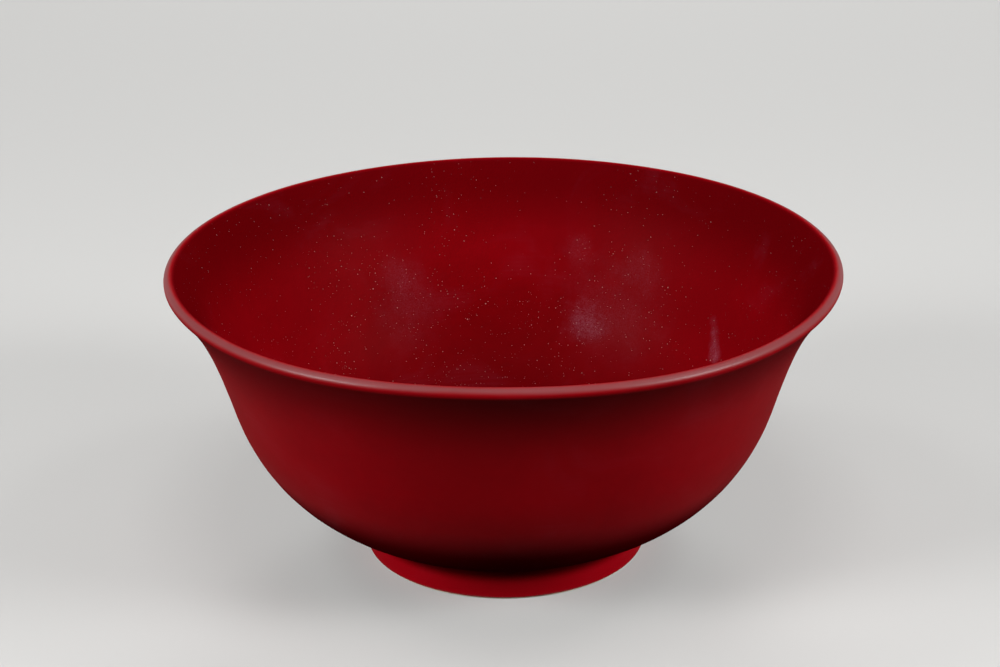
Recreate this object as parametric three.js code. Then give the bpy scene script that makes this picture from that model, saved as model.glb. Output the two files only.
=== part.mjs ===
// A porcelain bowl with a flared lip and a turned foot ring, glazed deep red inside and out.
// Millimetres, +Z up. The origin is on the ground, at the centre of the foot.
import * as THREE from 'three';

// Rim and lip
const rimDiameter = 184;
const bowlHeight = 84;
const lipThickness = 3.3; // the lip is a full round of this diameter, glaze included
const lipLean = 43; // degrees from upright, outside, just under the lip

// Waist: where the belly's curve ends and the flare begins, on the outside
const waistDiameter = 150.4;
const waistHeight = 46.5;
const waistLean = 16.5; // degrees from upright
const waistThickness = 3.6; // through clay and both glazes

// Belly: the outside below the waist
const bellyHeight = 10.5; // where it leaves the foot's cove
const bellyLean = 69; // degrees from upright, at the cove

// How far each outside curve keeps the direction that it has at its end
const bellyPull = 16.6;
const underWaistPull = 19.7;
const overWaistPull = 16.2;
const lipPull = 12.2;

// Inside of the bowl
const floorThickness = 4.6; // from the clay's underside to the glaze in the well
const wellPull = 51; // how far the well stays level on its way out
const innerWaistPull = 26;

// Foot ring
const footDiameter = 78.5; // over the glaze
const footWall = 4.5; // the clay's thickness near the ground
const footInnerLean = 6; // degrees that the ring's inner face leans in towards the top
const footBevel = 0.4; // on both edges of the bare rim
const coveRadius = 4.5; // between the foot's outer face and the belly
const baseFillet = 1.8; // of the glaze in the corner under the base

// Glaze
const glazeThickness = 0.35;
const glazeLine = 0.5; // height at which the foot's glaze was wiped back

// Fineness of the curved faces
const turns = 48;
const bellySteps = 11;
const flareSteps = 6;
const wellSteps = 13;
const lipSteps = 8;
const coveSteps = 4;
const filletSteps = 3;

const point = (radius, height) => new THREE.Vector2(radius, height);
const radians = THREE.MathUtils.degToRad;
const direction = lean => point(Math.sin(radians(lean)), Math.cos(radians(lean)));
const ahead = (start, lean, distance) => start.clone().addScaledVector(direction(lean), distance);

// Points beside a curve, on its left as it runs, with the distance growing evenly along it
function beside(curve, steps, firstDistance, lastDistance) {
  return Array.from({ length: steps + 1 }, (_, step) => {
    const share = step / steps;
    const along = curve.getTangent(share);
    const left = point(-along.y, along.x);
    return curve.getPoint(share).addScaledVector(left, THREE.MathUtils.lerp(firstDistance, lastDistance, share));
  });
}

// Points on a circle from one angle to another, in degrees
function arc(centre, radius, firstAngle, lastAngle, steps) {
  return Array.from({ length: steps + 1 }, (_, step) => {
    const angle = radians(THREE.MathUtils.lerp(firstAngle, lastAngle, step / steps));
    return centre.clone().add(point(radius * Math.cos(angle), radius * Math.sin(angle)));
  });
}

// Foot: its outer face, the cove above it, and its inner face
const footRadius = footDiameter / 2;
const footClayRadius = footRadius - glazeThickness;
const coveCentreRadius = footRadius + coveRadius;
const coveCentre = point(coveCentreRadius, bellyHeight - coveRadius * Math.sin(radians(bellyLean)));
const coveEndAngle = 180 - bellyLean;
const cove = depth => arc(coveCentre, coveRadius + depth, 180, coveEndAngle, coveSteps);

// Outside curves, from the cove up to the lip
const lipRadius = lipThickness / 2;
const lipCentre = point(rimDiameter / 2 - lipRadius, bowlHeight - lipRadius);
const bellyFoot = cove(0).at(-1);
const waist = point(waistDiameter / 2, waistHeight);
const flareTop = arc(lipCentre, lipRadius, -lipLean, -lipLean, 1).at(0);
const belly = new THREE.CubicBezierCurve(
  bellyFoot,
  ahead(bellyFoot, bellyLean, bellyPull),
  ahead(waist, waistLean, -underWaistPull),
  waist,
);
const flare = new THREE.CubicBezierCurve(
  waist,
  ahead(waist, waistLean, overWaistPull),
  ahead(flareTop, lipLean, -lipPull),
  flareTop,
);

// The clay's underside, which the foot ring is luted to
const seatHeight = cove(glazeThickness).at(-1).y;

// Inside curve, from the middle of the well up to the waist
const wellHeight = seatHeight + floorThickness;
const innerWaist = beside(flare, 1, waistThickness, waistThickness).at(0);
const well = new THREE.CubicBezierCurve(
  point(0, wellHeight),
  point(wellPull, wellHeight),
  ahead(innerWaist, waistLean, -innerWaistPull),
  innerWaist,
);

// Faces that neighbours share: depth 0 is the glaze's own surface, glazeThickness the clay's.
// Where two stretches meet, both take the same point.
const lip = depth => arc(lipCentre, lipRadius - depth, -lipLean, 180 - lipLean, lipSteps);
const outside = depth => [
  cove(depth).at(-1),
  ...beside(belly, bellySteps, depth, depth).slice(1),
  ...beside(flare, flareSteps, depth, depth).slice(1, -1),
  lip(depth).at(0),
];
const inside = depth => [
  point(0, wellHeight - depth),
  ...beside(well, wellSteps, -depth, -depth).slice(1),
  ...beside(flare, flareSteps, waistThickness - depth, lipThickness - depth).slice(1, -1),
  lip(depth).at(-1),
];

const footInnerRadius = footClayRadius - footWall;
const footInnerAt = height => footInnerRadius - (height - footBevel) * Math.tan(radians(footInnerLean));

// Solids of revolution. Each outline runs anticlockwise, with the radius across and the height up.
// Every four-cornered facet is split from its lower ring to the next turn of its upper ring,
// so two neighbours that share a face share its triangles as well.
function revolve(outline) {
  const lathe = new THREE.LatheGeometry(outline, turns);
  const rings = outline.length;
  const index = [];
  for (let turn = 0; turn < turns; turn += 1) {
    for (let ring = 0; ring < rings - 1; ring += 1) {
      const here = outline[ring];
      const next = outline[ring + 1];
      const a = turn * rings + ring;
      const b = a + rings;
      const rises = next.y > here.y || (next.y === here.y && next.x > here.x);
      if (here.x === 0) index.push(a, b + 1, a + 1);
      else if (next.x === 0) index.push(a, b, a + 1);
      else if (rises) index.push(a, b, a + 1, b, b + 1, a + 1);
      else index.push(a, b, b + 1, a, b + 1, a + 1);
    }
  }
  lathe.setIndex(index);
  return lathe.rotateX(Math.PI / 2);
}

const closed = outline => [...outline, outline[0]];

function bowlBody() {
  return revolve([
    point(0, seatHeight),
    ...outside(glazeThickness),
    ...lip(glazeThickness).slice(1, -1),
    ...inside(glazeThickness).reverse(),
  ]);
}

function footRing() {
  return revolve(closed([
    point(footInnerRadius + footBevel, 0),
    point(footClayRadius - footBevel, 0),
    point(footClayRadius, footBevel),
    point(footClayRadius, glazeLine),
    ...cove(glazeThickness),
    point(footInnerAt(seatHeight), seatHeight),
    point(footInnerAt(glazeLine), glazeLine),
    point(footInnerRadius, footBevel),
  ]));
}

function innerGlaze() {
  return revolve([...inside(glazeThickness), ...inside(0).reverse()]);
}

function outerGlaze() {
  return revolve(closed([...outside(0), ...outside(glazeThickness).reverse()]));
}

function lipGlaze() {
  return revolve(closed([...lip(0), ...lip(glazeThickness).reverse()]));
}

function footGlaze() {
  return revolve(closed([
    point(footRadius, glazeLine),
    ...cove(0),
    ...cove(glazeThickness).reverse(),
    point(footClayRadius, glazeLine),
  ]));
}

function baseGlaze() {
  const underside = seatHeight - glazeThickness;
  const face = height => point(footInnerAt(height) - glazeThickness, height);
  // The fillet touches the underside and the leaning face
  const filletHeight = underside - baseFillet;
  const toTouch = arc(point(0, 0), baseFillet, footInnerLean, footInnerLean, 1).at(0);
  const filletCentre = point(face(filletHeight + toTouch.y).x - toTouch.x, filletHeight);
  return revolve([
    point(0, underside),
    ...arc(filletCentre, baseFillet, 90, footInnerLean, filletSteps),
    face(glazeLine),
    point(footInnerAt(glazeLine), glazeLine),
    point(footInnerAt(seatHeight), seatHeight),
    point(0, seatHeight),
  ]);
}

// Materials: fired porcelain, the red glaze, its paler edge on the lip, and the clear glaze below
const porcelain = { color: 0xd8ccb8, roughness: 0.75, metalness: 0 };
const redGlaze = { color: 0x780a16, roughness: 0.25, metalness: 0 };
const thinGlaze = { color: 0x8c1c26, roughness: 0.25, metalness: 0 };
const clearGlaze = { color: 0xe6e4dc, roughness: 0.2, metalness: 0 };

const bowl = new THREE.Group();

function add(name, geometry, finish) {
  const mesh = new THREE.Mesh(geometry, new THREE.MeshStandardMaterial(finish));
  mesh.name = name;
  bowl.add(mesh);
}

add('bowl_body', bowlBody(), porcelain);
add('foot_ring', footRing(), porcelain);
add('inner_glaze', innerGlaze(), redGlaze);
add('outer_glaze', outerGlaze(), redGlaze);
add('lip_glaze', lipGlaze(), thinGlaze);
add('foot_glaze', footGlaze(), redGlaze);
add('base_glaze', baseGlaze(), clearGlaze);

export default bowl;
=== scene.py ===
import math

import bpy
import numpy as np
from mathutils import Matrix, Vector


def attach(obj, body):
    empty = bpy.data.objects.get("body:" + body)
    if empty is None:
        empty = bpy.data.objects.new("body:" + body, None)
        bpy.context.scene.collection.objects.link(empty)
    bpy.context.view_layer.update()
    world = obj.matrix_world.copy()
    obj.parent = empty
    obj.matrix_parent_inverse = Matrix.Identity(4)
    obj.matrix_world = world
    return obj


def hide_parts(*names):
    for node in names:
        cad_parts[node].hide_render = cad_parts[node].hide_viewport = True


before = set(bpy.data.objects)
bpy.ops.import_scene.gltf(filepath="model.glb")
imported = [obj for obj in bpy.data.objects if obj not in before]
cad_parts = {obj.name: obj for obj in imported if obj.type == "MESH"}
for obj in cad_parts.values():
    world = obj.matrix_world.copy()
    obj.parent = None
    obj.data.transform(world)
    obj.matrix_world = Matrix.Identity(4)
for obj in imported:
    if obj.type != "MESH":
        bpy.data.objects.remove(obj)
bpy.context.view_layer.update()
print("bowl: solids loaded")

mm = 0.001  # metres
onAxis = 1e-6  # mm, a ring smaller than this is one point

# The bowl's section in millimetres and degrees from upright, with the same values as the solids
bowl = {
    "rimDiameter": 184.0,
    "height": 84.0,
    "lipThickness": 3.3,
    "lipLean": 43.0,
    "waistDiameter": 150.4,
    "waistHeight": 46.5,
    "waistLean": 16.5,
    "waistThickness": 3.6,
    "bellyHeight": 10.5,
    "bellyLean": 69.0,
    "bellyPull": 16.6,
    "underWaistPull": 19.7,
    "overWaistPull": 16.2,
    "lipPull": 12.2,
    "floorThickness": 4.6,
    "wellPull": 51.0,
    "innerWaistPull": 26.0,
    "footDiameter": 78.5,
    "footWall": 4.5,
    "footInnerLean": 6.0,
    "footBevel": 0.4,
    "coveRadius": 4.5,
    "baseFillet": 1.8,
    "glaze": 0.35,
    "glazeLine": 0.5,
}

# How many rows each stretch has, and how many columns go round
fineness = {
    "columns": 240,
    "well": 96,
    "flare": 32,
    "lip": 36,
    "belly": 52,
    "cove": 12,
    "foot": 12,
    "bead": 5,
    "bevel": 6,
    "baseFace": 8,
    "baseFillet": 10,
    "underside": 40,
    "hiddenStep": 4,  # the backs of the coats, and the clay, take every fourth row
}

# What the wheel and the kiln left, in mm: faint rings along the wall, a rim that isn't quite level,
# and a rounded bead where the glaze ends
making = {
    "rings": [(7.3, 0.010, 0.4), (3.9, 0.004, 2.1)],  # pitch, height, phase
    "ringsGrow": 12.0,  # they start from the middle of the well over this distance
    "ringsFade": 9.0,  # and die away over this one beside the lip and the cove
    "rimWaves": [  # waves round the rim, height, degrees where each is high
        (1, 0.186, 98.1),
        (2, 0.174, 40.5),
        (3, 0.172, 18.8),
        (4, 0.180, -3.0),
        (5, 0.130, -18.4),
        (6, 0.074, 29.4),
    ],
    "trueBelow": 34.0,  # the wall under this height is level
    "bead": 0.3,
    "beadTurn": 80,  # degrees
}


def heading(lean):
    return np.array([math.sin(math.radians(lean)), math.cos(math.radians(lean))])


def leftOf(along):
    return np.stack([-along[:, 1], along[:, 0]], 1)


# A curve that leaves start along firstPull and comes into end along lastPull
def pulled(start, firstPull, lastPull, end, rows):
    a, d = np.array(start), np.array(end)
    b, c = a + firstPull, d - lastPull
    t = np.linspace(0, 1, rows + 1)[:, None]
    places = (1 - t) ** 3 * a + 3 * (1 - t) ** 2 * t * b + 3 * (1 - t) * t**2 * c + t**3 * d
    along = (1 - t) ** 2 * (b - a) + 2 * (1 - t) * t * (c - b) + t**2 * (d - c)
    return places, along / np.linalg.norm(along, axis=1)[:, None]


# Part of a circle from one angle to another, in degrees, and the way it runs
def bend(centre, radius, first, last, rows):
    angle = np.radians(np.linspace(first, last, rows + 1))
    places = np.array(centre) + radius * np.stack([np.cos(angle), np.sin(angle)], 1)
    along = np.stack([-np.sin(angle), np.cos(angle)], 1) * (1 if last > first else -1)
    return places, along


def straight(start, end, rows=1):
    t = np.linspace(0, 1, rows + 1)[:, None]
    way = np.array(end, float) - np.array(start, float)
    return np.array(start) + t * way, np.repeat([way / np.linalg.norm(way)], rows + 1, 0)


lipRadius = bowl["lipThickness"] / 2
lipCentre = (bowl["rimDiameter"] / 2 - lipRadius, bowl["height"] - lipRadius)
footRadius = bowl["footDiameter"] / 2
footClay = footRadius - bowl["glaze"]
footInner = footClay - bowl["footWall"]
coveCentre = (
    footRadius + bowl["coveRadius"],
    bowl["bellyHeight"] - bowl["coveRadius"] * math.sin(math.radians(bowl["bellyLean"])),
)
coveTurn = 180 - bowl["bellyLean"]
bellyFoot = bend(coveCentre, bowl["coveRadius"], coveTurn, 180, 1)[0][0]
seatHeight = bend(coveCentre, bowl["coveRadius"] + bowl["glaze"], coveTurn, 180, 1)[0][0][1]
wellHeight = seatHeight + bowl["floorThickness"]
waist = np.array([bowl["waistDiameter"] / 2, bowl["waistHeight"]])
flareTop = bend(lipCentre, lipRadius, -bowl["lipLean"], 0, 1)[0][0]
waistWay = heading(bowl["waistLean"])
innerWaist = waist + bowl["waistThickness"] * np.array([-waistWay[1], waistWay[0]])


def footInnerAt(height):
    return footInner - (height - bowl["footBevel"]) * math.tan(math.radians(bowl["footInnerLean"]))


# The glazed skin, from the middle of the well, up over the lip and down to the foot's glaze line
def glazedSkin():
    well = pulled(
        (0, wellHeight),
        np.array([bowl["wellPull"], 0]),
        waistWay * bowl["innerWaistPull"],
        innerWaist,
        fineness["well"],
    )
    flare = pulled(
        waist,
        waistWay * bowl["overWaistPull"],
        heading(bowl["lipLean"]) * bowl["lipPull"],
        flareTop,
        fineness["flare"],
    )
    # above the waist the inside follows the outside at the wall's thickness
    thickness = np.linspace(bowl["waistThickness"], bowl["lipThickness"], fineness["flare"] + 1)
    innerFlare = (flare[0] + leftOf(flare[1]) * thickness[:, None], flare[1])
    lip = bend(lipCentre, lipRadius, 180 - bowl["lipLean"], -bowl["lipLean"], fineness["lip"])
    belly = pulled(
        bellyFoot,
        heading(bowl["bellyLean"]) * bowl["bellyPull"],
        waistWay * bowl["underWaistPull"],
        waist,
        fineness["belly"],
    )
    cove = bend(coveCentre, bowl["coveRadius"], coveTurn, 180, fineness["cove"])
    # the glaze ends in a rounded bead just above the ground
    bead = making["bead"]
    beadHeight = bowl["glazeLine"] + bead
    foot = straight((footRadius, coveCentre[1]), (footRadius, beadHeight), fineness["foot"])
    edge = bend((footRadius - bead, beadHeight), bead, 0, -making["beadTurn"], fineness["bead"])
    stretches = {
        "well": well,
        "innerFlare": innerFlare,
        "lip": lip,
        "outerFlare": (flare[0][::-1], -flare[1][::-1]),
        "belly": (belly[0][::-1], -belly[1][::-1]),
        "cove": cove,
        "foot": foot,
        "edge": edge,
    }
    places, along, starts = [], [], {}
    for name, (stretchPlaces, stretchAlong) in stretches.items():
        skip = 1 if places else 0
        starts[name] = sum(len(p) for p in places) - skip
        places.append(stretchPlaces[skip:])
        along.append(stretchAlong[skip:])
    return np.vstack(places), np.vstack(along), starts


skin, skinAlong, skinStart = glazedSkin()
skinStart["end"] = len(skin) - 1
skinOut = leftOf(skinAlong)  # from the clay to the air


# Faint rings left on the wheel, which die away towards the lip and the foot
def addRings():
    steps = np.linalg.norm(np.diff(skin, axis=0), axis=1)
    way = np.concatenate([[0], np.cumsum(steps)])
    share = np.ones(len(skin))
    for name in ("lip", "cove"):
        distance = np.abs(way - way[skinStart[name]])
        share *= np.clip(distance / making["ringsFade"], 0, 1) ** 2
    share[skinStart["lip"] : skinStart["outerFlare"]] = 0
    share[skinStart["cove"] :] = 0
    share *= np.clip(way / making["ringsGrow"], 0, 1)
    height = sum(
        tall * np.sin(2 * math.pi * way / pitch + phase) for pitch, tall, phase in making["rings"]
    )
    height = height * share
    slope = np.gradient(height, way)
    out = skinOut - skinAlong * slope[:, None]
    return skin + skinOut * height[:, None], out / np.linalg.norm(out, axis=1)[:, None]


skin, skinOut = addRings()
clay = skin - leftOf(skinAlong) * bowl["glaze"]
clay[0, 0] = 0
clay[skinStart["edge"] :, 0] = footClay  # the foot's clay stays upright behind the bead
clay[skinStart["edge"] :, 1] = skin[skinStart["edge"] :, 1]


# How far the rim is lifted at an angle, and how fast that changes on the way round
def rimWave(angle):
    lift, turn = 0 * angle, 0 * angle
    for waves, tall, high in making["rimWaves"]:
        phase = waves * (angle - math.radians(high))
        lift = lift + tall * np.cos(phase)
        turn = turn - waves * tall * np.sin(phase)
    return lift, turn


# Lifts and dips the upper wall with the rim, and leans its normals to match
def warp(radius, height, angle, out):
    waved = bowl["height"] - making["trueBelow"]
    share = np.clip((height - making["trueBelow"]) / waved, 0, 1)
    ease = share**2 * (3 - 2 * share)
    easeSlope = 6 * share * (1 - share) / waved
    lift, turn = rimWave(angle)
    sideways = np.stack([-np.sin(angle), np.cos(angle), 0 * angle], -1)
    up = np.array([0, 0, 1.0])
    tilt = (ease * turn / np.maximum(radius, onAxis))[..., None]
    rise = sideways * tilt + up * (easeSlope * lift)[..., None]
    bent = out - rise * (out[..., 2] / (1 + easeSlope * lift))[..., None]
    return height + ease * lift, bent / np.linalg.norm(bent, axis=-1)[..., None]


# Turns an outline into a closed mesh. It is given as stretches of places and normals that share
# their ends, with the air on the left, and it closes on itself or starts and ends on the axis.
def turned(name, stretches):
    columns = fineness["columns"]
    angles = np.arange(columns) * 2 * math.pi / columns
    rings = [stretches[0][0][0]]
    links = []  # first ring, second ring, and the normal at each
    for places, outs in stretches:
        for row in range(len(places) - 1):
            rings.append(places[row + 1])
            links.append((len(rings) - 2, len(rings) - 1, outs[row], outs[row + 1]))
    if rings[0][0] > onAxis:  # a closed outline ends on its own first ring
        rings.pop()
        last = links[-1]
        links[-1] = (last[0], 0, last[2], last[3])

    vertices, ringStart = [], []
    for radius, height in rings:
        ringStart.append(len(vertices))
        turn = angles[:1] if radius < onAxis else angles
        up = np.tile((0.0, 0.0, 1.0), (len(turn), 1))
        level = warp(np.full(len(turn), radius), np.full(len(turn), height), turn, up)[0]
        vertices += list(zip(radius * np.cos(turn), radius * np.sin(turn), level))

    def outsRound(ring, out):
        radius, height = rings[ring]
        upright = np.full(columns, out[1])
        level = np.stack([out[0] * np.cos(angles), out[0] * np.sin(angles), upright], -1)
        return warp(np.full(columns, radius), np.full(columns, height), angles, level)[1]

    faces, normals = [], []
    for first, second, outFirst, outSecond in links:
        firstOut, secondOut = outsRound(first, outFirst), outsRound(second, outSecond)
        for column in range(columns):
            after = (column + 1) % columns
            a, b = ringStart[first] + column, ringStart[first] + after
            d, c = ringStart[second] + column, ringStart[second] + after
            if rings[first][0] < onAxis:
                faces.append((ringStart[first], d, c))
                normals += [firstOut[column], secondOut[column], secondOut[after]]
            elif rings[second][0] < onAxis:
                faces.append((a, ringStart[second], b))
                normals += [firstOut[column], secondOut[column], firstOut[after]]
            else:
                faces.append((a, d, c, b))
                normals += [firstOut[column], secondOut[column], secondOut[after], firstOut[after]]

    mesh = bpy.data.meshes.new(name)
    mesh.from_pydata([tuple(mm * value for value in vertex) for vertex in vertices], [], faces)
    mesh.shade_smooth()
    mesh.normals_split_custom_set([tuple(normal) for normal in normals])
    piece = bpy.data.objects.new(name, mesh)
    bpy.context.scene.collection.objects.link(piece)
    return piece


def flat(start, end):
    places, along = straight(start, end)
    return places, leftOf(along)


def hiddenRows(first, last):
    return [*range(first, last, fineness["hiddenStep"]), last]


# A coat of glaze over part of the skin, with its back on the clay
def coat(piece):
    first, last = skinStart[piece["from"]], skinStart[piece["to"]]
    back = hiddenRows(first, last)[::-1]
    stretches = [
        (skin[first : last + 1], skinOut[first : last + 1]),
        flat(skin[last], clay[last]),
        (clay[back], -skinOut[back]),
    ]
    if clay[first][0] > onAxis:
        stretches.append(flat(clay[first], skin[first]))
    return turned(piece["name"], stretches)


def addNode(tree, kind, values=None, **settings):
    node = tree.nodes.new(kind)
    for name, value in settings.items():
        setattr(node, name, value)
    for name, value in (values or {}).items():
        node.inputs[name].default_value = value
    return node


def plug(tree, source, target):
    if isinstance(source, (int, float)):
        target.default_value = source
    else:
        tree.links.new(source, target)


def calc(tree, operation, *terms):
    node = addNode(tree, "ShaderNodeMath", operation=operation)
    for term, target in zip(terms, node.inputs):
        plug(tree, term, target)
    return node.outputs[0]


def plus(tree, first, second):
    return calc(tree, "ADD", first, second)


def minus(tree, first, second):
    return calc(tree, "SUBTRACT", first, second)


def times(tree, first, second):
    return calc(tree, "MULTIPLY", first, second)


def over(tree, first, second):
    return calc(tree, "DIVIDE", first, second)


def larger(tree, first, second):
    return calc(tree, "MAXIMUM", first, second)


# Adds a share of first to second
def addShare(tree, first, share, second):
    return calc(tree, "MULTIPLY_ADD", first, share, second)


# Eases from outLow where the value is low to outHigh where it is high
def ramp(tree, value, low, high, outLow=0.0, outHigh=1.0):
    node = addNode(tree, "ShaderNodeMapRange", interpolation_type="SMOOTHSTEP")
    plug(tree, value, node.inputs["Value"])
    plug(tree, low, node.inputs["From Min"])
    plug(tree, high, node.inputs["From Max"])
    plug(tree, outLow, node.inputs["To Min"])
    plug(tree, outHigh, node.inputs["To Max"])
    return node.outputs["Result"]


def blendColour(tree, share, first, second):
    node = addNode(tree, "ShaderNodeMix", data_type="RGBA")
    plug(tree, share, node.inputs["Factor"])
    for value, target in ((first, node.inputs[6]), (second, node.inputs[7])):
        if isinstance(value, tuple):
            target.default_value = value
        else:
            tree.links.new(value, target)
    return node.outputs[2]


def noise(tree, place, scale, detail=2.0, roughness=0.5, distortion=0.0):
    values = {"Detail": detail, "Roughness": roughness, "Distortion": distortion}
    node = addNode(tree, "ShaderNodeTexNoise", values)
    tree.links.new(place, node.inputs["Vector"])
    plug(tree, scale, node.inputs["Scale"])
    return node.outputs["Fac"]


# Cells scattered over the surface: how far a spot is from its cell's middle, and three draws for
# each cell
def scatter(tree, place, scale):
    cells = addNode(tree, "ShaderNodeTexVoronoi", feature="F1")
    plug(tree, place, cells.inputs["Vector"])
    plug(tree, scale, cells.inputs["Scale"])
    draws = addNode(tree, "ShaderNodeSeparateColor")
    plug(tree, cells.outputs["Color"], draws.inputs[0])
    return cells.outputs["Distance"], draws.outputs


def axesOf(tree, place):
    node = addNode(tree, "ShaderNodeSeparateXYZ")
    plug(tree, place, node.inputs[0])
    return node.outputs


# Distance from the bowl's axis, and height
def fromAxisAndHeight(tree, place):
    x, y, height = axesOf(tree, place)
    squares = plus(tree, times(tree, x, x), times(tree, y, y))
    return calc(tree, "SQRT", squares), height


# How far the rim's waves lift the lip at a spot, in metres
def rimLift(tree, place):
    axes = axesOf(tree, place)
    angle = calc(tree, "ARCTAN2", axes[1], axes[0])
    lift = 0.0
    for waves, tall, high in making["rimWaves"]:
        phase = addShare(tree, angle, waves, -waves * math.radians(high))
        lift = addShare(tree, calc(tree, "COSINE", phase), mm * tall, lift)
    return lift


def newGroup(name, takes, gives):
    group = bpy.data.node_groups.new(name, "ShaderNodeTree")
    for label, kind, value in takes:
        socket = group.interface.new_socket(label, in_out="INPUT", socket_type=kind)
        socket.default_value = value
    for label, kind in gives:
        group.interface.new_socket(label, in_out="OUTPUT", socket_type=kind)
    entry = group.nodes.new("NodeGroupInput")
    leave = group.nodes.new("NodeGroupOutput")
    place = group.nodes.new("ShaderNodeTexCoord").outputs["Object"]
    return group, entry.outputs, leave.inputs, place


number, tint = "NodeSocketFloat", "NodeSocketColor"

# Clouds in the glaze, where it lies thinner and thicker, and the faint peel of its surface.
# Scales are per metre, here and below.
cloudLook = {
    "mottleScale": 330.0,
    "mottleShare": 0.25,
    "contrast": (0.34, 0.66),
    "sheenScale": 47.0,
    "sheenContrast": (0.35, 0.65),
    "peelScale": 420.0,
    "finePeelScale": 1500.0,
    "finePeelShare": 0.3,
}


def cloudGroup():
    look = cloudLook
    group, takes, gives, spot = newGroup(
        "glazeClouds",
        [
            ("Deep", tint, (0, 0, 0, 1)),
            ("Clear", tint, (1, 1, 1, 1)),
            ("Cloud Size", number, 0.03),
            ("Amount", number, 0.5),
            ("Gloss", number, 0.25),
            ("Satin", number, 0.4),
        ],
        [("Colour", tint), ("Roughness", number), ("Peel", number)],
    )
    cloudScale = over(group, 1.0, takes["Cloud Size"])
    clouds = noise(group, spot, cloudScale, detail=3, roughness=0.55, distortion=0.6)
    mottle = noise(group, spot, look["mottleScale"], detail=3, roughness=0.6)
    clouds = times(group, clouds, 1 - look["mottleShare"])
    mixed = addShare(group, mottle, look["mottleShare"], clouds)
    spread = minus(group, ramp(group, mixed, *look["contrast"]), 0.5)
    share = addShare(group, spread, takes["Amount"], 0.5)
    plug(group, blendColour(group, share, takes["Deep"], takes["Clear"]), gives["Colour"])
    patches = noise(group, spot, look["sheenScale"], detail=4, roughness=0.6, distortion=0.3)
    sheen = ramp(group, patches, *look["sheenContrast"], takes["Gloss"], takes["Satin"])
    plug(group, sheen, gives["Roughness"])
    orange = noise(group, spot, look["peelScale"], detail=1)
    orange = times(group, orange, 1 - look["finePeelShare"])
    fine = noise(group, spot, look["finePeelScale"], detail=1)
    plug(group, addShare(group, fine, look["finePeelShare"], orange), gives["Peel"])
    return group


# Specks of dust, most of them low in the bowl
dustLook = {
    "few": (0.072, 0.35),  # height in metres, and how much of it lies there
    "most": (0.040, 1.1),
    "driftScale": 38.0,
    "drift": (0.38, 0.66),
    "leastDrift": 0.25,
    "cling": 2.0,  # how much more of it haze holds
    "leastSize": 0.25,
    "moreSize": 0.9,
    "softEdge": 0.55,
}


def dustGroup():
    look = dustLook
    group, takes, gives, spot = newGroup(
        "dustSpecks",
        [
            ("Spacing", number, 0.002),
            ("Size", number, 0.1),
            ("Share", number, 0.3),
            ("Gather", number, 0.0),
        ],
        [("Mask", number)],
    )
    height = axesOf(group, spot)[2]
    settled = ramp(group, height, look["few"][0], look["most"][0], look["few"][1], look["most"][1])
    drift = noise(group, spot, look["driftScale"])
    drift = ramp(group, drift, *look["drift"], look["leastDrift"], 1.0)
    drift = plus(group, drift, times(group, takes["Gather"], look["cling"]))
    keep = times(group, times(group, settled, drift), takes["Share"])
    distance, draws = scatter(group, spot, over(group, 1.0, takes["Spacing"]))
    kept = calc(group, "LESS_THAN", draws[0], keep)
    size = addShare(group, draws[1], look["moreSize"], look["leastSize"])
    size = times(group, takes["Size"], size)
    inside = ramp(group, over(group, distance, size), 1.0, look["softEdge"])
    plug(group, times(group, times(group, kept, inside), draws[2]), gives["Mask"])
    return group


# A thin film where the bowl was wiped and handled, with fine level lines in it
filmLook = {
    "contrast": (0.52, 0.74),
    "wanderScale": 22.0,
    "wander": 0.004,
    "outShare": 0.6,  # the lines follow each other outwards and upwards along the wall
    "upShare": 0.9,
    "lineContrast": (0.3, 0.7),
    "leastLine": 0.45,
}


def filmGroup():
    look = filmLook
    group, takes, gives, spot = newGroup(
        "wipedFilm",
        [("Patch Size", number, 0.03), ("Amount", number, 0.3), ("Line Pitch", number, 0.0011)],
        [("Mask", number), ("Lines", number)],
    )
    patchScale = over(group, 1.0, takes["Patch Size"])
    patches = noise(group, spot, patchScale, detail=4, roughness=0.6, distortion=0.8)
    film = ramp(group, patches, *look["contrast"])
    fromAxis, height = fromAxisAndHeight(group, spot)
    wander = times(group, noise(group, spot, look["wanderScale"], detail=1), look["wander"])
    along = addShare(group, fromAxis, look["outShare"], times(group, height, look["upShare"]))
    along = plus(group, along, wander)
    values = {"Detail": 2.0, "Scale": 1.0}
    lines = addNode(group, "ShaderNodeTexNoise", values, noise_dimensions="1D")
    plug(group, over(group, along, takes["Line Pitch"]), lines.inputs["W"])
    combed = ramp(group, lines.outputs["Fac"], *look["lineContrast"], look["leastLine"], 1.0)
    combed = times(group, film, combed)
    plug(group, times(group, combed, takes["Amount"]), gives["Mask"])
    plug(group, lines.outputs["Fac"], gives["Lines"])
    return group


# Where the glaze ran thin over the lip, its pale band partly a painted highlight; painted shade
# below the lip, on the lower belly and over the top of the foot; glaze pooled in the well; and
# painted light on the foot's face. Angles go round the lip, in radians up from level outwards,
# and heights are in metres; a pair is where a thing begins and is full.
thinAndPaintedLightLook = {
    "unevenScale": 45.0,
    "unevenLip": 0.5,
    "unevenFoot": 0.0012,
    "insideFade": 1.3,  # how much sooner the lip's masks fade on the side facing into the bowl
    # the lip's pale band, partly a painted highlight
    "pale": (0.92, 0.25),
    "shine": (1.2, 0.35),
    "paleFoot": 0.5,
    # where shade is painted below the lip, on the lower belly and over the foot's top, and where
    # glaze pools in the well
    "within": (1.6, 2.3),
    "beneath": (0.0, -0.9),
    "beneathMost": 0.7,
    "belowLip": (0.058, 0.080),
    "belowLipMost": 0.84,
    "lowBelly": (0.036, 0.023),
    "cove": (0.0042, 0.0075),
    "well": (0.036, 0.017),
    "wellMost": 0.2,
    # where light is painted on the foot's face
    "footFace": (0.0078, 0.0040),
}


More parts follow.
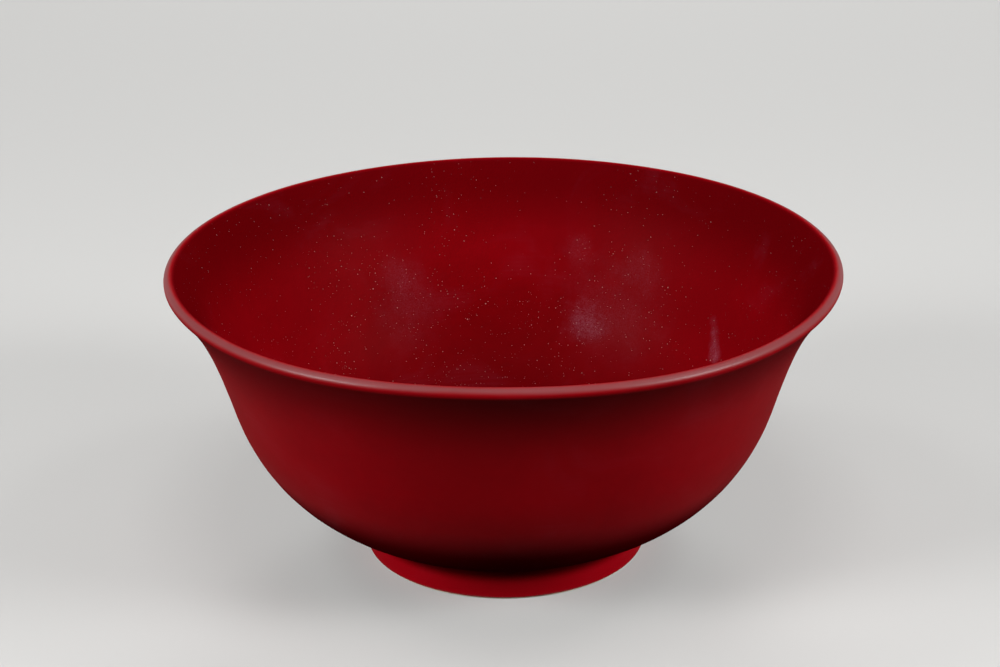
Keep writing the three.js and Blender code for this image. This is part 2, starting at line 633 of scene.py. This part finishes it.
def thinAndPaintedLightGroup():
    look = thinAndPaintedLightLook
    group, takes, gives, spot = newGroup(
        "thinGlazeAndPaintedLight",
        [
            ("Lip Radius", number, mm * lipCentre[0]),
            ("Lip Height", number, mm * lipCentre[1]),
            ("Shoulder", number, 0.97),
            ("Foot Starts", number, 0.0012),
            ("Foot Full", number, 0.0006),
            ("Inside", number, 0.0),
        ],
        [("Mask", number), ("Shine", number), ("Painted Shade And Pool", number), ("Painted Foot Light", number)],
    )
    fromAxis, height = fromAxisAndHeight(group, spot)
    outwards = minus(group, fromAxis, takes["Lip Radius"])
    upwards = minus(group, height, rimLift(group, spot))
    upwards = minus(group, upwards, takes["Lip Height"])
    roundLip = calc(group, "ARCTAN2", upwards, outwards)
    # pale thin glaze and shine over the shoulder of the lip, the pale band partly a painted
    # highlight, and pale at the wiped edge on the foot
    past = minus(group, roundLip, takes["Shoulder"])
    away = larger(group, times(group, past, -1.0), times(group, past, look["insideFade"]))
    uneven = noise(group, spot, look["unevenScale"], detail=3, roughness=0.6)
    uneven = minus(group, uneven, 0.5)
    lip = ramp(group, addShare(group, uneven, look["unevenLip"], away), *look["pale"])
    near = addShare(group, uneven, look["unevenFoot"], height)
    foot = ramp(group, near, takes["Foot Starts"], takes["Foot Full"])
    plug(group, larger(group, lip, times(group, foot, look["paleFoot"])), gives["Mask"])
    plug(group, ramp(group, away, *look["shine"]), gives["Shine"])
    # painted shade below the lip, most of all on the inside
    outside = minus(group, 1.0, takes["Inside"])
    within = larger(group, takes["Inside"], ramp(group, roundLip, *look["within"]))
    beneath = ramp(group, roundLip, *look["beneath"], 0.0, look["beneathMost"])
    belowLip = plus(group, within, times(group, outside, beneath))
    upThere = ramp(group, height, *look["belowLip"], 0.0, look["belowLipMost"])
    belowLip = times(group, upThere, belowLip)
    # painted shade on the outside's lower belly and over the top of the foot, and glaze pooled in
    # the well
    lowBellyShade = ramp(group, height, *look["lowBelly"])
    lowBellyShade = times(group, lowBellyShade, ramp(group, height, *look["cove"]))
    pool = ramp(group, height, *look["well"], 0.0, look["wellMost"])
    pool = times(group, takes["Inside"], pool)
    below = addShare(group, lowBellyShade, outside, pool)
    plug(group, larger(group, belowLip, below), gives["Painted Shade And Pool"])
    # painted light on the foot's upright face
    paintedFootLight = times(group, outside, ramp(group, height, *look["footFace"]))
    plug(group, paintedFootLight, gives["Painted Foot Light"])
    return group


# Smudges seen on the inside, partly wiped haze and partly painted reflections of the lamps: centre,
# reach and strength, in metres
smudgesAndReflections = {
    "leftLow": ((-0.0280, 0.0640, 0.0450), 0.015, 0.19),
    "leftHigh": ((-0.0325, 0.0675, 0.0545), 0.009, 0.20),
    "rightLow": ((0.0235, 0.0640, 0.0400), 0.008, 0.66),
    "rightBeside": ((0.0285, 0.0622, 0.0395), 0.007, 0.26),
    "rightHalo": ((0.0330, 0.0610, 0.0440), 0.022, 0.15),
    "rightHigh": ((0.0225, 0.0725, 0.0600), 0.007, 0.15),
    "rightFar": ((0.0413, 0.0624, 0.0575), 0.010, 0.11),
    "streakLow": ((0.0619, 0.0325, 0.0412), 0.0040, 1.00),
    "streakMiddle": ((0.0615, 0.0342, 0.0442), 0.0034, 0.90),
    "streakHigh": ((0.0610, 0.0358, 0.0470), 0.0030, 0.80),
    "streakTop": ((0.0605, 0.0374, 0.0498), 0.0026, 0.50),
}
# How ragged they are, and the smears and grain that break them up: each from which value of the
# noise to which, and what that leaves
smudgeAndReflectionLook = {
    "raggedScale": 110.0,
    "ragged": 1.3,
    "smearsRound": 62.0,  # per radian
    "smearsUp": 130.0,
    "smears": (0.34, 0.66, 0.82, 1.08),
    "grainScale": 2400.0,
    "grain": (0.34, 0.66, 0.35, 1.45),
}


def smudgeAndReflectionGroup():
    look = smudgeAndReflectionLook
    group, takes, gives, spot = newGroup("smudgesAndReflections", [("Amount", number, 1.0)], [("Mask", number)])
    ragged = noise(group, spot, look["raggedScale"], detail=4, roughness=0.7)
    ragged = times(group, minus(group, ragged, 0.5), look["ragged"])
    total = 0.0
    for centre, reach, strength in smudgesAndReflections.values():
        apart = addNode(group, "ShaderNodeVectorMath", operation="DISTANCE")
        plug(group, spot, apart.inputs[0])
        apart.inputs[1].default_value = centre
        share = plus(group, over(group, apart.outputs["Value"], reach), ragged)
        total = plus(group, total, ramp(group, share, 1.0, 0.0, 0.0, strength))
    # fine grain, drawn out into smears that run up the wall
    axes = axesOf(group, spot)
    turn = calc(group, "ARCTAN2", axes[1], axes[0])
    wall = addNode(group, "ShaderNodeCombineXYZ")
    plug(group, times(group, turn, look["smearsRound"]), wall.inputs[0])
    plug(group, times(group, axes[2], look["smearsUp"]), wall.inputs[1])
    smears = noise(group, wall.outputs[0], 1.0, detail=3, roughness=0.6)
    grain = noise(group, spot, look["grainScale"], detail=2, roughness=0.7)
    total = calc(group, "MINIMUM", total, 1.0)
    total = times(group, total, ramp(group, smears, *look["smears"]))
    total = times(group, total, ramp(group, grain, *look["grain"]))
    plug(group, times(group, total, takes["Amount"]), gives["Mask"])
    return group


cloudsOf, dustOf, filmOf = cloudGroup(), dustGroup(), filmGroup()
thinAndPaintedLightOf, smudgesAndReflectionsOf = thinAndPaintedLightGroup(), smudgeAndReflectionGroup()
print("bowl: glaze effects made")


def useGroup(tree, group, values):
    node = addNode(tree, "ShaderNodeGroup", node_tree=group)
    for name, value in values.items():
        if isinstance(value, bpy.types.NodeSocket):
            tree.links.new(value, node.inputs[name])
        else:
            node.inputs[name].default_value = value
    return node.outputs


def newMaterial(name, constants):
    material = bpy.data.materials.new(name)
    material.use_nodes = True
    tree = material.node_tree
    shader = tree.nodes["Principled BSDF"]
    for label, value in constants.items():
        shader.inputs[label].default_value = value
    return material, tree, shader


def bump(tree, height, distance, under=None):
    node = addNode(tree, "ShaderNodeBump", {"Distance": distance, "Strength": 1.0})
    plug(tree, height, node.inputs["Height"])
    if under:
        tree.links.new(under, node.inputs["Normal"])
    return node.outputs["Normal"]


# The red glaze: colours are linear, lengths in metres
glazeLook = {
    # the inside pair is the same red made darker: painted shade
    "deepInside": (0.147, 0.0004, 0.0022, 1),
    "clearInside": (0.201, 0.0005, 0.0029, 1),
    "deepOutside": (0.215, 0.0004, 0.0030, 1),
    "clearOutside": (0.290, 0.0006, 0.0038, 1),
    # painted shade below the lip, on the lower belly and over the foot's top, with glaze pooled in
    # the well
    "paintedShadeAndPool": (0.075, 0.0002, 0.0012, 1),
    "paintedShadeAndPoolShare": 0.95,  # how far each layer hides what is under it
    # painted light on the foot's upright face
    "paintedFootLight": (0.370, 0.0007, 0.0070, 1),
    "paintedFootLightShare": 0.5,
    # the lip's pale thin glaze, partly a painted highlight
    "thinAndPaintedLight": (0.145, 0.088, 0.093, 1),
    "thinAndPaintedLightShare": 0.40,
    # haze of the film and smudges, partly painted reflections of the lamps
    "hazeAndReflection": (0.300, 0.105, 0.170, 1),
    "hazeAndReflectionShare": 0.25,
    "dust": (0.660, 0.390, 0.360, 1),
    "dustShare": 0.7,
    "fineDust": {"Spacing": 0.00075, "Size": 0.18},
    "coarseDust": {"Spacing": 0.0022, "Size": 0.09},
    "cloudSize": 0.030,
    "cloudAmount": 0.42,
    "gloss": 0.34,  # roughness of the red body under the shine
    "satin": 0.46,
    "hazeRoughness": 0.15,  # what haze and dust add to it
    "dustRoughness": 0.3,
    "hazeShine": 0.12,
    "shineIor": 1.5,
    "peelHeight": 0.0000045,
}


# One red glaze, its inside colours darker as painted shade; each coat says how much dust, film and
# smudge, partly painted reflection, lies on it
def redGlaze(piece):
    look, side = glazeLook, piece["side"]
    # the shine is a thin clear skin over the red, so it stays faint where the wall turns away
    material, tree, shader = newMaterial(piece["name"] + "Red", {
        "Specular IOR Level": 0.0,
        "Coat IOR": look["shineIor"],
        "Coat Roughness": piece["roughness"],
    })
    clouds = useGroup(tree, cloudsOf, {
        "Deep": look["deep" + side],
        "Clear": look["clear" + side],
        "Cloud Size": look["cloudSize"],
        "Amount": look["cloudAmount"],
        "Gloss": look["gloss"],
        "Satin": look["satin"],
    })
    thinAndPaintedLight = useGroup(tree, thinAndPaintedLightOf, {"Inside": 1.0 if side == "Inside" else 0.0})
    film = useGroup(tree, filmOf, {"Amount": piece["film"]})
    smudgeAndReflection = useGroup(tree, smudgesAndReflectionsOf, {"Amount": piece["smudgeAndReflection"]})
    # film and smudges: wiped haze, and in the smudges painted reflections of the lamps
    hazeAndReflectionMask = calc(tree, "MINIMUM", plus(tree, film["Mask"], smudgeAndReflection["Mask"]), 1.0)
    lies = {"Share": piece["dust"], "Gather": hazeAndReflectionMask}
    fine = useGroup(tree, dustOf, {**look["fineDust"], **lies})
    coarse = useGroup(tree, dustOf, {**look["coarseDust"], **lies})
    specks = larger(tree, fine["Mask"], coarse["Mask"])
    layers = {
        "paintedShadeAndPool": thinAndPaintedLight["Painted Shade And Pool"],
        "paintedFootLight": thinAndPaintedLight["Painted Foot Light"],
        "thinAndPaintedLight": thinAndPaintedLight["Mask"],
        "hazeAndReflection": hazeAndReflectionMask,
        "dust": specks,
    }
    colour = clouds["Colour"]
    for layer, mask in layers.items():
        share = times(tree, mask, look[layer + "Share"])
        colour = blendColour(tree, share, colour, look[layer])
    plug(tree, colour, shader.inputs["Base Color"])
    rough = addShare(tree, hazeAndReflectionMask, look["hazeRoughness"], clouds["Roughness"])
    rough = addShare(tree, specks, look["dustRoughness"], rough)
    plug(tree, rough, shader.inputs["Roughness"])
    weight = addShare(tree, thinAndPaintedLight["Shine"], piece["lipShine"], piece["shine"])
    # no shine where the shade is painted or the glaze pools
    weight = times(tree, weight, minus(tree, 1.0, thinAndPaintedLight["Painted Shade And Pool"]))
    weight = addShare(tree, hazeAndReflectionMask, look["hazeShine"], weight)
    plug(tree, weight, shader.inputs["Coat Weight"])
    peel = bump(tree, clouds["Peel"], look["peelHeight"])
    plug(tree, bump(tree, film["Lines"], piece["lines"], peel), shader.inputs["Normal"])
    return material


def fit(piece, built, material):
    built.data.materials.append(material)
    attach(built, "root")
    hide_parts(piece["node"])


# The red coats: where each begins and ends on the skin, and how its surface looks
innerCoat = {
    "name": "innerGlaze",
    "node": "inner_glaze",
    "slot": "red_glaze",
    "from": "well",
    "to": "lip",
    "side": "Inside",
    "shine": 0.025,
    "lipShine": 0.0,
    "roughness": 0.50,
    "film": 0.12,
    "dust": 1.0,
    "smudgeAndReflection": 1.0,
    "lines": 0.0000018,
}
lipCoat = {
    "name": "lipGlaze",
    "node": "lip_glaze",
    "slot": "lip_glaze",
    "from": "lip",
    "to": "outerFlare",
    "side": "Outside",
    "shine": 0.085,
    "lipShine": 0.52,
    "roughness": 0.40,
    "film": 0.10,
    "dust": 0.0,
    "smudgeAndReflection": 0.0,
    "lines": 0.0000004,
}
outerCoat = {
    "name": "outerGlaze",
    "node": "outer_glaze",
    "slot": "red_glaze",
    "from": "outerFlare",
    "to": "cove",
    "side": "Outside",
    "shine": 0.085,
    "lipShine": 0.0,
    "roughness": 0.36,
    "film": 0.12,
    "dust": 0.0,
    "smudgeAndReflection": 0.0,
    "lines": 0.0000008,
}
footCoat = {
    "name": "footGlaze",
    "node": "foot_glaze",
    "slot": "red_glaze",
    "from": "cove",
    "to": "end",
    "side": "Outside",
    "shine": 0.085,
    "lipShine": 0.0,
    "roughness": 0.36,
    "film": 0.10,
    "dust": 0.0,
    "smudgeAndReflection": 0.0,
    "lines": 0.0000008,
}

for piece in (innerCoat, lipCoat, outerCoat, footCoat):
    fit(piece, coat(piece), redGlaze(piece))
print("bowl: red coats turned")


# Fired clay, with grit, fine tooth and a warm flush beside the glaze
clayLook = {
    "pale": (0.71, 0.63, 0.52, 1),
    "warm": (0.62, 0.47, 0.33, 1),
    "grit": (0.30, 0.20, 0.13, 1),
    "worn": (0.47, 0.41, 0.34, 1),
    "roughness": 0.78,
    "specular": 0.35,
    "gritShare": 0.7,
    "gritEdge": (0.22, 0.08),
    "toothScale": 2600.0,
    "toothHeight": 0.00003,
    "flushShare": 0.7,
    "flush": (0.0001, 0.0005),  # heights in metres where it begins and is full
    "wear": (0.0002, 0.0),
    "wearScale": 300.0,
    "wanderScale": 160.0,
    "wander": 0.0008,
}


def gritGroup():
    look = clayLook
    group, takes, gives, spot = newGroup(
        "clayGrit",
        [("Spacing", number, 0.0016), ("Share", number, 0.25)],
        [("Mask", number), ("Tooth", number), ("Flush", number), ("Worn", number)],
    )
    distance, draws = scatter(group, spot, over(group, 1.0, takes["Spacing"]))
    kept = calc(group, "LESS_THAN", draws[0], takes["Share"])
    plug(group, times(group, kept, ramp(group, distance, *look["gritEdge"])), gives["Mask"])
    tooth = noise(group, spot, look["toothScale"], detail=3, roughness=0.65)
    plug(group, tooth, gives["Tooth"])
    wander = minus(group, noise(group, spot, look["wanderScale"], detail=3), 0.5)
    height = plus(group, axesOf(group, spot)[2], times(group, wander, look["wander"]))
    plug(group, ramp(group, height, *look["flush"]), gives["Flush"])
    patches = noise(group, spot, look["wearScale"], detail=3)
    plug(group, times(group, ramp(group, height, *look["wear"]), patches), gives["Worn"])
    return group


gritOf = gritGroup()


def bareClay(name):
    look = clayLook
    constants = {"Roughness": look["roughness"], "Specular IOR Level": look["specular"]}
    material, tree, shader = newMaterial(name, constants)
    grit = useGroup(tree, gritOf, {})
    flush = times(tree, grit["Flush"], look["flushShare"])
    colour = blendColour(tree, flush, look["pale"], look["warm"])
    colour = blendColour(tree, grit["Worn"], colour, look["worn"])
    flecks = times(tree, grit["Mask"], look["gritShare"])
    colour = blendColour(tree, flecks, colour, look["grit"])
    plug(tree, colour, shader.inputs["Base Color"])
    plug(tree, bump(tree, grit["Tooth"], look["toothHeight"]), shader.inputs["Normal"])
    return material


bodyClay = {"name": "clayBody", "node": "bowl_body", "slot": "porcelain"}
ringClay = {"name": "footRing", "node": "foot_ring", "slot": "porcelain"}


# The shell under the coats, closed across the seat where the ring is luted on
def clayShell(piece):
    stretches = []
    for first, last in (("well", "lip"), ("lip", "outerFlare"), ("outerFlare", "cove")):
        rows = hiddenRows(skinStart[first], skinStart[last])
        stretches.append((clay[rows], skinOut[rows]))
    stretches.append(flat(clay[skinStart["cove"]], (0, seatHeight)))
    return turned(piece["name"], stretches)


# The ring: a bare flat rim between two rounded bevels, and plain faces under the coats
def clayRing(piece):
    bevel, rows = bowl["footBevel"], fineness["bevel"]
    outerBevel = bend((footClay - bevel, bevel), bevel, 0, -90, rows)
    innerBevel = bend((footInner + bevel, bevel), bevel, -90, -180, rows)
    outerLine = (footClay, bowl["glazeLine"])
    innerLine = (footInnerAt(bowl["glazeLine"]), bowl["glazeLine"])
    innerSeat = (footInnerAt(seatHeight), seatHeight)
    coveRows = hiddenRows(skinStart["cove"], skinStart["foot"])
    stretches = [
        flat(outerLine, (footClay, bevel)),
        (outerBevel[0], leftOf(outerBevel[1])),
        flat((footClay - bevel, 0), (footInner + bevel, 0)),
        (innerBevel[0], leftOf(innerBevel[1])),
        flat((footInner, bevel), innerLine),
        flat(innerLine, innerSeat),
        flat(innerSeat, clay[coveRows[0]]),
        (clay[coveRows], skinOut[coveRows]),
        flat(clay[coveRows[-1]], outerLine),
    ]
    return turned(piece["name"], stretches)


porcelain = bareClay("bareClay")
fit(bodyClay, clayShell(bodyClay), porcelain)
fit(ringClay, clayRing(ringClay), porcelain)
print("bowl: clay turned")


# Clear glaze under the base, pooled in the corner, with pinholes and faint marks of turning
baseLook = {
    "white": (0.80, 0.785, 0.735, 1),
    "pooled": (0.62, 0.665, 0.60, 1),
    "pinhole": (0.33, 0.26, 0.20, 1),
    "gloss": 0.16,
    "satin": 0.26,
    "specular": 0.5,
    "pooledShare": 0.75,
    "patchScale": 60.0,
    "patches": (0.5, 0.75, 0.0, 0.5),  # noise from and to, and the pooling that it gives
    "cloudShare": 0.3,
    "cloudAmount": 0.35,
    "pinholeScale": 210.0,
    "pinholeShare": 0.10,
    "pinholeEdge": (0.07, 0.03),
    "turningScale": 2200.0,  # radians per metre
    "wanderScale": 25.0,
    "wander": 0.002,
    "peelHeight": 0.000008,
    "turningHeight": 0.0000025,
}
baseCoat = {"name": "baseGlaze", "node": "base_glaze", "slot": "clear_glaze"}


def baseShell(piece):
    underside, lean, bead = seatHeight - bowl["glaze"], bowl["footInnerLean"], making["bead"]
    filletHeight = underside - bowl["baseFillet"]
    toTouch = bend((0, 0), bowl["baseFillet"], lean, 90, 1)[0][0]
    touchRadius = footInnerAt(filletHeight + toTouch[1]) - bowl["glaze"]
    filletCentre = (touchRadius - toTouch[0], filletHeight)
    low = bowl["glazeLine"] + bead
    edgeCentre = (footInnerAt(low) - bowl["glaze"] + bead, low)
    edge = bend(edgeCentre, bead, 180 + making["beadTurn"], 180, fineness["bead"])
    fillet = bend(filletCentre, bowl["baseFillet"], lean, 90, fineness["baseFillet"])
    face = straight(edge[0][-1], fillet[0][0], fineness["baseFace"])
    under = straight(fillet[0][-1], (0, underside), fineness["underside"])
    ringCorner = (footInnerAt(seatHeight), seatHeight)
    ringLow = (footInnerAt(edge[0][0][1]), edge[0][0][1])
    stretches = [
        flat((0, seatHeight), ringCorner),
        flat(ringCorner, ringLow),
        flat(ringLow, edge[0][0]),
    ]
    stretches += [(places, leftOf(along)) for places, along in (edge, face, fillet, under)]
    return turned(piece["name"], stretches)


def baseGroup():
    look = baseLook
    group, takes, gives, spot = newGroup(
        "baseMarks",
        [("Corner", number, 0.0325), ("Spread", number, 0.004)],
        [("Pooled", number), ("Pinholes", number), ("Turning", number)],
    )
    fromAxis = fromAxisAndHeight(group, spot)[0]
    gap = calc(group, "ABSOLUTE", minus(group, fromAxis, takes["Corner"]))
    corner = ramp(group, over(group, gap, takes["Spread"]), 1.0, 0.0)
    patches = noise(group, spot, look["patchScale"], detail=3)
    pooled = larger(group, corner, ramp(group, patches, *look["patches"]))
    plug(group, pooled, gives["Pooled"])
    distance, draws = scatter(group, spot, look["pinholeScale"])
    kept = calc(group, "LESS_THAN", draws[0], look["pinholeShare"])
    pinholes = times(group, kept, ramp(group, distance, *look["pinholeEdge"]))
    plug(group, pinholes, gives["Pinholes"])
    out = addShare(group, noise(group, spot, look["wanderScale"]), look["wander"], fromAxis)
    turning = calc(group, "SINE", times(group, out, look["turningScale"]))
    plug(group, turning, gives["Turning"])
    return group


baseOf = baseGroup()


def clearGlaze(name):
    look = baseLook
    material, tree, shader = newMaterial(name, {"Specular IOR Level": look["specular"]})
    marks = useGroup(tree, baseOf, {})
    clouds = useGroup(tree, cloudsOf, {
        "Deep": look["pooled"],
        "Clear": look["white"],
        "Amount": look["cloudAmount"],
        "Gloss": look["gloss"],
        "Satin": look["satin"],
    })
    pooled = times(tree, marks["Pooled"], look["pooledShare"])
    colour = blendColour(tree, pooled, look["white"], look["pooled"])
    colour = blendColour(tree, look["cloudShare"], colour, clouds["Colour"])
    colour = blendColour(tree, marks["Pinholes"], colour, look["pinhole"])
    plug(tree, colour, shader.inputs["Base Color"])
    plug(tree, clouds["Roughness"], shader.inputs["Roughness"])
    peel = bump(tree, clouds["Peel"], look["peelHeight"])
    turning = bump(tree, marks["Turning"], look["turningHeight"], peel)
    plug(tree, turning, shader.inputs["Normal"])
    return material


fit(baseCoat, baseShell(baseCoat), clearGlaze("clearGlaze"))
print("bowl: base glazed")


# A plain pale floor. Much less light bounces off it than its colour would give, and it glows
# towards its edge for the eye alone, so that it runs into the room.
floorLook = {
    "radius": 2.6,
    "corners": 128,
    "roughness": 0.9,
    "specular": 0.1,
    "seen": (0.39, 0.387, 0.379, 1),
    "bounced": (0.04, 0.039, 0.038, 1),
    "near": (0.22, 0.219, 0.216, 1),
    "far": (0.65, 0.645, 0.63, 1),
    "glow": (0.3, 1.8),  # metres from the axis, from near to far
}
dark = (0, 0, 0, 1)


def seenDirectly(tree):
    path = tree.nodes.new("ShaderNodeLightPath").outputs
    seen = larger(tree, path["Is Camera Ray"], path["Is Glossy Ray"])
    return larger(tree, seen, path["Is Transmission Ray"])


def layFloor():
    look = floorLook
    bpy.ops.mesh.primitive_circle_add(
        vertices=look["corners"], radius=look["radius"], fill_type="NGON", location=(0, 0, 0)
    )
    floor = bpy.context.object
    floor.name = "paleFloor"
    material, tree, shader = newMaterial("paleFloor", {
        "Roughness": look["roughness"],
        "Specular IOR Level": look["specular"],
        "Emission Strength": 1.0,
    })
    seen = seenDirectly(tree)
    plug(tree, blendColour(tree, seen, look["bounced"], look["seen"]), shader.inputs["Base Color"])
    spot = tree.nodes.new("ShaderNodeTexCoord").outputs["Object"]
    fromAxis = fromAxisAndHeight(tree, spot)[0]
    glow = blendColour(tree, ramp(tree, fromAxis, *look["glow"]), look["near"], look["far"])
    plug(tree, blendColour(tree, seen, dark, glow), shader.inputs["Emission Color"])
    floor.data.materials.append(material)


# The room: how strongly it lights, and how pale it looks, level and overhead
room = {
    "tint": (1.0, 0.99, 0.97, 1),
    "lights": 0.07,
    "level": 0.64,
    "overhead": 0.14,
    "between": (0.0, 0.7),  # from level to overhead, 1 being straight up
}


def lightRoom():
    world = bpy.data.worlds.new("paleRoom")
    bpy.context.scene.world = world
    world.use_nodes = True
    tree = world.node_tree
    background = tree.nodes["Background"]
    background.inputs["Color"].default_value = room["tint"]
    up = axesOf(tree, tree.nodes.new("ShaderNodeTexCoord").outputs["Generated"])[2]
    looks = ramp(tree, up, *room["between"], room["level"], room["overhead"])
    strength = addNode(tree, "ShaderNodeMapRange")
    plug(tree, seenDirectly(tree), strength.inputs["Value"])
    plug(tree, room["lights"], strength.inputs["To Min"])
    plug(tree, looks, strength.inputs["To Max"])
    plug(tree, strength.outputs["Result"], background.inputs["Strength"])


# Soft square lamps, aimed at the bowl: place and size in metres, power in watts, how wide they
# throw in degrees, and whether they show in the glaze
lamps = {
    "leftLamp": {
        "at": (-1.23, -0.66, 0.70), "size": 0.5, "power": 4.7, "spread": 90, "mirrored": True,
    },
    "rightLamp": {
        "at": (1.28, -0.54, 0.70), "size": 0.5, "power": 4.7, "spread": 90, "mirrored": True,
    },
    "highLeftLamp": {
        "at": (-0.78, 0.00, 1.20), "size": 0.3, "power": 2.2, "spread": 180, "mirrored": True,
    },
    "highRightLamp": {
        "at": (0.78, 0.04, 1.15), "size": 0.3, "power": 2.2, "spread": 180, "mirrored": True,
    },
    "frontLamp": {
        "at": (0.0, -1.30, 1.50), "size": 2.2, "power": 2.4, "spread": 180, "mirrored": True,
    },
    "overheadLamp": {
        "at": (0.0, -0.42, 1.40), "size": 0.5, "power": 4.6, "spread": 180, "mirrored": False,
    },
    "backLamp": {
        "at": (0.10, 1.40, 0.80), "size": 0.6, "power": 2.4, "spread": 90, "mirrored": False,
    },
}
lampsAim = (0, 0, 0.05)


def hangLamp(name, lamp):
    light = bpy.data.lights.new(name, "AREA")
    light.shape = "SQUARE"
    light.size = lamp["size"]
    light.spread = math.radians(lamp["spread"])
    light.energy = lamp["power"]
    holder = bpy.data.objects.new(name, light)
    bpy.context.scene.collection.objects.link(holder)
    holder.location = lamp["at"]
    toBowl = Vector(lampsAim) - holder.location
    holder.rotation_euler = toBowl.to_track_quat("-Z", "Y").to_euler()
    holder.visible_camera = False
    holder.visible_glossy = lamp["mirrored"]


layFloor()
lightRoom()
for name, lamp in lamps.items():
    hangLamp(name, lamp)
print("bowl: floor, room and lamps set")

# The camera stands where the photograph was taken from: metres, degrees, and millimetres of lens
camera = {
    "at": (0.0, -0.598, 0.3022),
    "down": 21.895,
    "turn": -0.102,
    "roll": 0.604,
    "lens": 83.99,
    "sensor": 36.0,
    "sees": (0.01, 20.0),  # from how near to how far
}


def setCamera():
    down, turn, roll = (math.radians(camera[key]) for key in ("down", "turn", "roll"))
    forwards, sideways = math.cos(turn) * math.cos(down), math.sin(turn) * math.cos(down)
    ahead = np.array([sideways, forwards, -math.sin(down)])
    level = np.array([math.cos(turn), -math.sin(turn), 0.0])
    under = np.cross(ahead, level)
    right = math.cos(roll) * level + math.sin(roll) * under
    below = -math.sin(roll) * level + math.cos(roll) * under
    body = bpy.data.cameras.new("camera")
    body.lens = camera["lens"]
    body.sensor_width = camera["sensor"]
    body.sensor_fit = "HORIZONTAL"
    body.clip_start, body.clip_end = camera["sees"]
    holder = bpy.data.objects.new("camera", body)
    bpy.context.scene.collection.objects.link(holder)
    axes = Matrix((right, -below, -ahead)).transposed().to_4x4()
    holder.matrix_world = Matrix.Translation(camera["at"]) @ axes
    bpy.context.scene.camera = holder


setCamera()
bpy.context.scene.view_settings.view_transform = "Standard"

bpy.context.view_layer.update()
print("bowl: finished")
